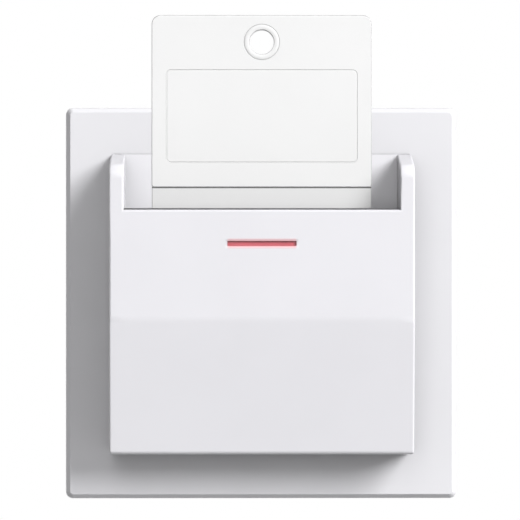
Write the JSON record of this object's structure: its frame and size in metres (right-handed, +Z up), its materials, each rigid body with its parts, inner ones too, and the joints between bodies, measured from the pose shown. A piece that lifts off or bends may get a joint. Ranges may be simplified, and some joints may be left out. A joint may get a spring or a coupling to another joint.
{
  "type": "hotel key card switch",
  "caption": "Square wall frame with a projecting card pocket, red indicator slit and key tag; the tag pushes down a sprung carriage whose cam closes a bridge contact.",
  "frame": {"origin": "Centre of the circle of wall screws, on the wall's surface", "axes": "+Z up, +X to the right seen from the room, +Y into the wall; the front faces -Y"},
  "size_m": [0.081, 0.0451, 0.0993],
  "materials": {
    "frame_plastic": "smooth white moulding, semi gloss",
    "holder_plastic": "smooth white moulding, semi gloss",
    "red_lens": "clear red, polished",
    "card_plastic": "fine satin white",
    "label_film": "matt write-on film",
    "carriage_plastic": "self-lubricating grey moulding",
    "cam_plastic": "satin orange moulding",
    "carrier_plastic": "satin ivory moulding",
    "housing_plastic": "matt heat-proof moulding",
    "lid_plastic": "satin grey moulding",
    "strap_steel": "zinc plated sheet",
    "screw_steel": "zinc plated",
    "spring_steel": "bright drawn",
    "brass": "stamped, slightly dull",
    "copper": "stamped copper",
    "contact_silver": "silver alloy",
    "board_laminate": "green lacquered laminate",
    "lamp_resin": "cast red resin",
    "resistor_body": "lacquered, ringed"
  },
  "bodies": {
    "base": {"cover_frame": "frame_plastic", "card_holder": "holder_plastic", "pocket_back": "holder_plastic", "indicator_lens": "red_lens", "holder_screws": "screw_steel", "card_grip_springs": "spring_steel", "grip_rivets": "screw_steel", "carriage_spring_left": "spring_steel", "carriage_spring_right": "spring_steel", "lamp_board": "board_laminate", "locator_lamp": "lamp_resin", "dropper_resistor": "resistor_body", "lamp_pins": "brass", "mounting_strap": "strap_steel", "switch_housing": "housing_plastic", "housing_lid": "lid_plastic", "housing_screws": "screw_steel", "flange_screws": "screw_steel", "carrier_spring": "spring_steel", "line_contact": "brass", "load_contact": "brass", "fixed_tips": "contact_silver", "neutral_strip": "brass", "terminal_clamps": "brass", "terminal_screws": "screw_steel"},
    "carriage": {"card_carriage": "carriage_plastic", "switch_cam": "cam_plastic", "cam_pin": "screw_steel"},
    "card": {"key_card": "card_plastic", "card_label": "label_film"},
    "contact": {"contact_carrier": "carrier_plastic", "contact_bridge": "copper", "bridge_tips": "contact_silver", "bridge_spring": "spring_steel"}
  },
  "joints": [
    {"name": "carriage_travel", "type": "slide", "parent": "base", "child": "carriage", "axis": [0, 0, 1], "range_m": [0, 0.008], "stiffness_N_per_m": 60, "springref_m": 0.017, "deforming": ["carriage_spring_left", "carriage_spring_right"]},
    {"name": "card_slide", "type": "slide", "parent": "carriage", "child": "card", "axis": [0, 0, 1], "range_m": [0, 0.055]},
    {"name": "contact_travel", "type": "slide", "parent": "base", "child": "contact", "axis": [0, -1, 0], "range_m": [0, 0.002], "deforming": ["carrier_spring"]}
  ],
  "couplings": [
    {"joint": "contact_travel", "follows": "carriage_travel", "ratio": 0.25}
  ]
}
